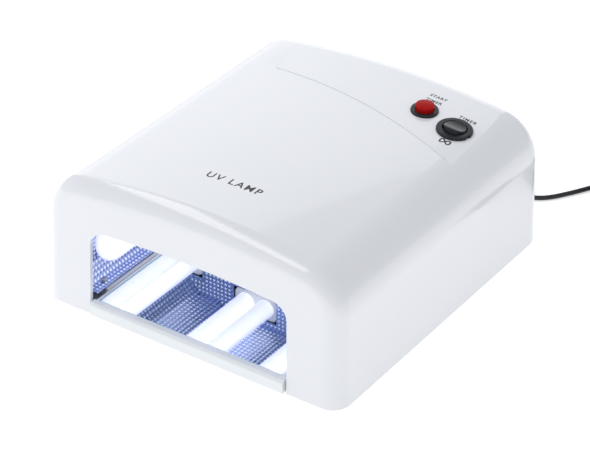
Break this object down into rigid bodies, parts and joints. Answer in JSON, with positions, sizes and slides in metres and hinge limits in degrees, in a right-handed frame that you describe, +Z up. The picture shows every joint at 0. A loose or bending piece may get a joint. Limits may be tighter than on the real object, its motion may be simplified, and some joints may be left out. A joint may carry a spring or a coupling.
{
  "type": "uv curing lamp",
  "caption": "Domed tabletop UV curing lamp with an arched hand opening, twin-tube lamps in an aluminium reflector, a mirrored slide-out tray, a start button and a timer rocker.",
  "frame": {"origin": "on the table under the feet, in the middle of the lamp's own plan box, the cord not counted", "axes": "+Z up, the hand opening faces -Y, the mains cord leaves the rear at +Y, +X to the right seen from the front"},
  "size_m": [0.3073, 0.3328, 0.0983],
  "materials": {
    "casing_white": "gloss",
    "frame_white": "satin",
    "tray_white": "gloss",
    "mirror_face": "polished",
    "foot_rubber": "matte",
    "zinc_steel": "zinc plated",
    "embossed_aluminium": "embossed with a fine square grid",
    "tube_glass": "frosted, phosphor coated",
    "lamp_base_white": "matte",
    "holder_white": "matte",
    "brass_fittings": "plain",
    "nickel_pins": "nickel plated",
    "ferrite": "matte",
    "capacitor_sleeve": "gloss",
    "black_plastic": "satin",
    "rocker_black": "gloss",
    "red_plastic": "gloss",
    "circuit_board": "solder mask",
    "relay_blue": "gloss",
    "lead_insulation": "satin",
    "cord_jacket": "satin",
    "plug_black": "satin"
  },
  "bodies": {
    "housing": {"ballast_board_1": "circuit_board", "ballast_board_2": "circuit_board", "ballast_board_3": "circuit_board", "ballast_board_4": "circuit_board", "ballast_capacitors": "capacitor_sleeve", "ballast_connectors": "holder_white", "ballast_inductors": "ferrite", "ballast_transistors": "black_plastic", "base_frame": "frame_white", "board_screws": "zinc_steel", "casing_screws": "zinc_steel", "cord_coil": "cord_jacket", "inner_mains_lead": "cord_jacket", "lamp_base_1": "lamp_base_white", "lamp_base_2": "lamp_base_white", "lamp_base_3": "lamp_base_white", "lamp_base_4": "lamp_base_white", "lamp_bracket": "zinc_steel", "lamp_holder_1": "holder_white", "lamp_holder_2": "holder_white", "lamp_holder_3": "holder_white", "lamp_holder_4": "holder_white", "lamp_leads": "lead_insulation", "lamp_pins": "brass_fittings", "mains_cord": "cord_jacket", "plug_body": "plug_black", "plug_pins": "nickel_pins", "reflector_hood": "embossed_aluminium", "reflector_rear": "embossed_aluminium", "rocker_bezel": "black_plastic", "rocker_pin": "zinc_steel", "rocker_terminals": "brass_fittings", "rubber_feet": "foot_rubber", "start_bezel": "black_plastic", "start_nut": "black_plastic", "start_spring": "zinc_steel", "start_switch": "black_plastic", "start_terminals": "brass_fittings", "strain_relief": "cord_jacket", "switch_leads": "lead_insulation", "terminal_block": "holder_white", "terminal_screws": "brass_fittings", "timer_board": "circuit_board", "timer_chip": "black_plastic", "timer_relay": "relay_blue", "timer_spacers": "holder_white", "top_shell": "casing_white", "uv_tube_1": "tube_glass", "uv_tube_2": "tube_glass", "uv_tube_3": "tube_glass", "uv_tube_4": "tube_glass"},
    "tray": {"slide_tray": "tray_white", "tray_mirror": "mirror_face"},
    "start_button": {"start_cap": "red_plastic"},
    "timer_rocker": {"rocker_cap": "rocker_black"}
  },
  "joints": [
    {"name": "tray_slide", "type": "slide", "parent": "housing", "child": "tray", "axis": [0, -1, 0], "range_m": [0, 0.0907]},
    {"name": "start_press", "type": "slide", "parent": "housing", "child": "start_button", "axis": [-0.0756, 0.0146, -0.997], "range_m": [0, 0.0022], "stiffness_N_per_m": 500, "deforming": ["start_spring"]},
    {"name": "rocker_tilt", "type": "hinge", "parent": "housing", "child": "timer_rocker", "pos_m": [0.07154, 0.06599, 0.09098], "axis": [0.993, 0.0017, -0.1177], "range_deg": [0, 24]}
  ]
}
